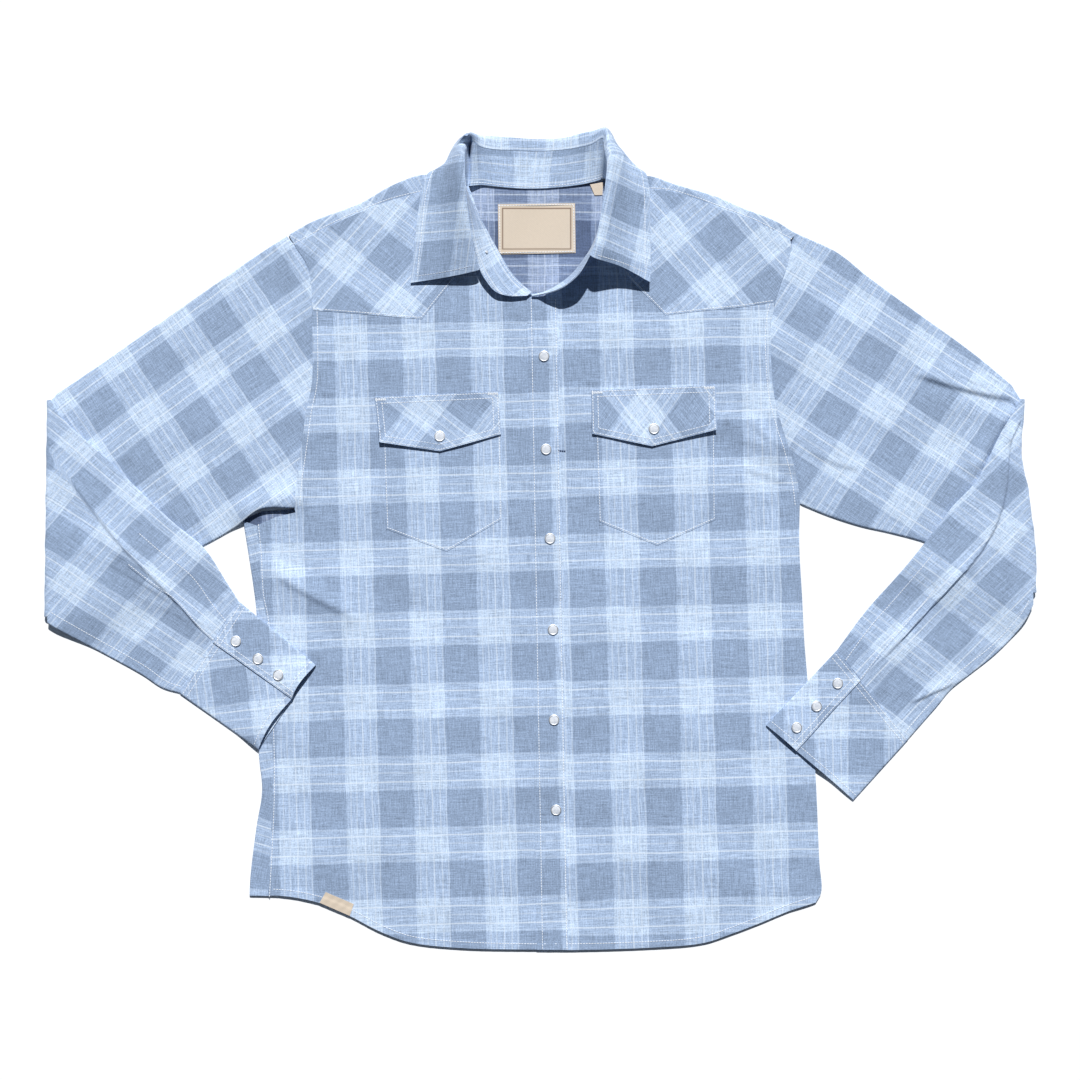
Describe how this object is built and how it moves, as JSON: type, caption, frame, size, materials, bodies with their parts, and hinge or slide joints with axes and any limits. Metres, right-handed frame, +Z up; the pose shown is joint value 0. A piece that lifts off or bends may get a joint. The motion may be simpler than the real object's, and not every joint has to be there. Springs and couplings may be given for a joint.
{
  "type": "western snap shirt",
  "caption": "Long-sleeved western shirt in blue plaid cotton with pointed yokes, flap pockets and pearl snaps, laid flat with the sleeves folded at the elbow.",
  "frame": {"origin": "on the surface that the shirt lies on, under the middle of its outline", "axes": "+X to the viewer's right across the sleeves, +Y from hem to collar, +Z up out of the surface"},
  "size_m": [0.9905, 0.8186, 0.0379],
  "materials": {
    "shirt_cloth": "matte",
    "label_cloth": "matte",
    "snap_pearl": "gloss",
    "snap_metal": "satin",
    "sewing_thread": "matte"
  },
  "bodies": {
    "root": {"back": "shirt_cloth", "back_yoke": "shirt_cloth", "front_left": "shirt_cloth", "front_right": "shirt_cloth", "front_yoke_left": "shirt_cloth", "front_yoke_right": "shirt_cloth", "pocket_left": "shirt_cloth", "pocket_right": "shirt_cloth", "flap_left": "shirt_cloth", "flap_right": "shirt_cloth", "placket": "shirt_cloth", "sleeve_left": "shirt_cloth", "sleeve_right": "shirt_cloth", "cuff_left": "shirt_cloth", "cuff_right": "shirt_cloth", "sleeve_placket_left": "shirt_cloth", "sleeve_placket_right": "shirt_cloth", "collar_stand": "shirt_cloth", "collar_leaf": "shirt_cloth", "neck_label": "label_cloth", "size_tab": "label_cloth", "hem_tab": "label_cloth", "snap_front_1": "snap_pearl", "snap_front_2": "snap_pearl", "snap_front_3": "snap_pearl", "snap_front_4": "snap_pearl", "snap_front_5": "snap_pearl", "snap_front_6": "snap_pearl", "snap_flap_left": "snap_pearl", "snap_flap_right": "snap_pearl", "snap_cuff_left_1": "snap_pearl", "snap_cuff_left_2": "snap_pearl", "snap_cuff_left_3": "snap_pearl", "snap_cuff_right_1": "snap_pearl", "snap_cuff_right_2": "snap_pearl", "snap_cuff_right_3": "snap_pearl"}
  },
  "joints": []
}
